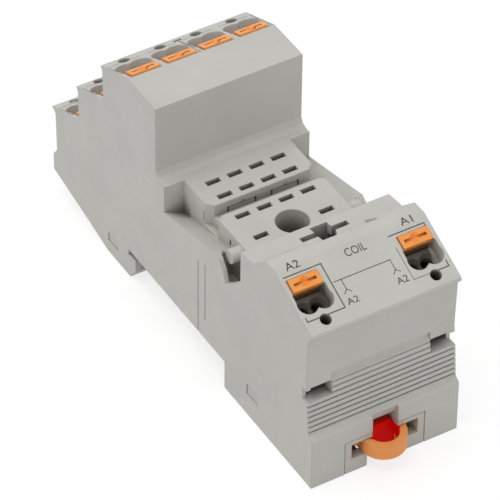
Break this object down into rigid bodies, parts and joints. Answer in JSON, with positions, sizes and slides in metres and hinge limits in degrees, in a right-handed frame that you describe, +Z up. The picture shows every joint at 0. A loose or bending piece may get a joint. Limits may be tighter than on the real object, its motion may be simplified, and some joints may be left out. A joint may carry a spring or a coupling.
{
  "type": "relay socket",
  "caption": "Rail-mounted socket for a plug-in relay: stepped tower of push-in terminals, relay well with blade slots, coil terminal block and sprung rail foot.",
  "frame": {"origin": "middle of the 35 mm rail channel, on the plane of the underside", "axes": "X across the width, -Y towards the release foot, +Y towards the terminal tower, +Z up and away from the rail"},
  "size_m": [0.031, 0.0987, 0.0486],
  "materials": {
    "housing_grey": "fine satin moulded plastic",
    "base_grey": "fine satin moulded plastic",
    "foot_orange": "satin orange plastic",
    "button_orange": "satin orange plastic",
    "contact_alloy": "tin-plated copper alloy strip",
    "clamp_steel": "stainless spring strip",
    "spring_steel": "spring wire"
  },
  "bodies": {
    "socket": {"housing": "housing_grey", "base_plate": "base_grey", "foot_spring": "spring_steel", "contact_top_1": "contact_alloy", "clamp_top_1": "clamp_steel", "contact_top_2": "contact_alloy", "clamp_top_2": "clamp_steel", "contact_top_3": "contact_alloy", "clamp_top_3": "clamp_steel", "contact_top_4": "contact_alloy", "clamp_top_4": "clamp_steel", "contact_mid_1": "contact_alloy", "clamp_mid_1": "clamp_steel", "contact_mid_2": "contact_alloy", "clamp_mid_2": "clamp_steel", "contact_mid_3": "contact_alloy", "clamp_mid_3": "clamp_steel", "contact_mid_4": "contact_alloy", "clamp_mid_4": "clamp_steel", "contact_low_1": "contact_alloy", "clamp_low_1": "clamp_steel", "contact_low_2": "contact_alloy", "clamp_low_2": "clamp_steel", "contact_low_3": "contact_alloy", "clamp_low_3": "clamp_steel", "contact_low_4": "contact_alloy", "clamp_low_4": "clamp_steel", "contact_coil_1": "contact_alloy", "clamp_coil_1": "clamp_steel", "contact_coil_2": "contact_alloy", "clamp_coil_2": "clamp_steel"},
    "foot": {"rail_foot": "foot_orange"},
    "button_top_1": {"button_top_1": "button_orange"},
    "button_top_2": {"button_top_2": "button_orange"},
    "button_top_3": {"button_top_3": "button_orange"},
    "button_top_4": {"button_top_4": "button_orange"},
    "button_mid_1": {"button_mid_1": "button_orange"},
    "button_mid_2": {"button_mid_2": "button_orange"},
    "button_mid_3": {"button_mid_3": "button_orange"},
    "button_mid_4": {"button_mid_4": "button_orange"},
    "button_low_1": {"button_low_1": "button_orange"},
    "button_low_2": {"button_low_2": "button_orange"},
    "button_low_3": {"button_low_3": "button_orange"},
    "button_low_4": {"button_low_4": "button_orange"},
    "button_coil_1": {"button_coil_1": "button_orange"},
    "button_coil_2": {"button_coil_2": "button_orange"}
  },
  "joints": [
    {"name": "foot_slide", "type": "slide", "parent": "socket", "child": "foot", "axis": [0, -1, 0], "range_m": [0, 0.003], "stiffness_N_per_m": 1500, "springref_m": -0.002, "deforming": ["foot_spring"]},
    {"name": "button_top_1_press", "type": "slide", "parent": "socket", "child": "button_top_1", "axis": [0, -0.3811, -0.9245], "range_m": [0, 0.0012], "stiffness_N_per_m": 4000, "springref_m": -0.0005, "deforming": ["clamp_top_1"]},
    {"name": "button_top_2_press", "type": "slide", "parent": "socket", "child": "button_top_2", "axis": [0, -0.3811, -0.9245], "range_m": [0, 0.0012], "stiffness_N_per_m": 4000, "springref_m": -0.0005, "deforming": ["clamp_top_2"]},
    {"name": "button_top_3_press", "type": "slide", "parent": "socket", "child": "button_top_3", "axis": [0, -0.3811, -0.9245], "range_m": [0, 0.0012], "stiffness_N_per_m": 4000, "springref_m": -0.0005, "deforming": ["clamp_top_3"]},
    {"name": "button_top_4_press", "type": "slide", "parent": "socket", "child": "button_top_4", "axis": [0, -0.3811, -0.9245], "range_m": [0, 0.0012], "stiffness_N_per_m": 4000, "springref_m": -0.0005, "deforming": ["clamp_top_4"]},
    {"name": "button_mid_1_press", "type": "slide", "parent": "socket", "child": "button_mid_1", "axis": [0, -0.3811, -0.9245], "range_m": [0, 0.0012], "stiffness_N_per_m": 4000, "springref_m": -0.0005, "deforming": ["clamp_mid_1"]},
    {"name": "button_mid_2_press", "type": "slide", "parent": "socket", "child": "button_mid_2", "axis": [0, -0.3811, -0.9245], "range_m": [0, 0.0012], "stiffness_N_per_m": 4000, "springref_m": -0.0005, "deforming": ["clamp_mid_2"]},
    {"name": "button_mid_3_press", "type": "slide", "parent": "socket", "child": "button_mid_3", "axis": [0, -0.3811, -0.9245], "range_m": [0, 0.0012], "stiffness_N_per_m": 4000, "springref_m": -0.0005, "deforming": ["clamp_mid_3"]},
    {"name": "button_mid_4_press", "type": "slide", "parent": "socket", "child": "button_mid_4", "axis": [0, -0.3811, -0.9245], "range_m": [0, 0.0012], "stiffness_N_per_m": 4000, "springref_m": -0.0005, "deforming": ["clamp_mid_4"]},
    {"name": "button_low_1_press", "type": "slide", "parent": "socket", "child": "button_low_1", "axis": [0, -0.3811, -0.9245], "range_m": [0, 0.0012], "stiffness_N_per_m": 4000, "springref_m": -0.0005, "deforming": ["clamp_low_1"]},
    {"name": "button_low_2_press", "type": "slide", "parent": "socket", "child": "button_low_2", "axis": [0, -0.3811, -0.9245], "range_m": [0, 0.0012], "stiffness_N_per_m": 4000, "springref_m": -0.0005, "deforming": ["clamp_low_2"]},
    {"name": "button_low_3_press", "type": "slide", "parent": "socket", "child": "button_low_3", "axis": [0, -0.3811, -0.9245], "range_m": [0, 0.0012], "stiffness_N_per_m": 4000, "springref_m": -0.0005, "deforming": ["clamp_low_3"]},
    {"name": "button_low_4_press", "type": "slide", "parent": "socket", "child": "button_low_4", "axis": [0, -0.3811, -0.9245], "range_m": [0, 0.0012], "stiffness_N_per_m": 4000, "springref_m": -0.0005, "deforming": ["clamp_low_4"]},
    {"name": "button_coil_1_press", "type": "slide", "parent": "socket", "child": "button_coil_1", "axis": [0, 0.4067, -0.9135], "range_m": [0, 0.0012], "stiffness_N_per_m": 4000, "springref_m": -0.0005, "deforming": ["clamp_coil_1"]},
    {"name": "button_coil_2_press", "type": "slide", "parent": "socket", "child": "button_coil_2", "axis": [0, 0.4067, -0.9135], "range_m": [0, 0.0012], "stiffness_N_per_m": 4000, "springref_m": -0.0005, "deforming": ["clamp_coil_2"]}
  ]
}
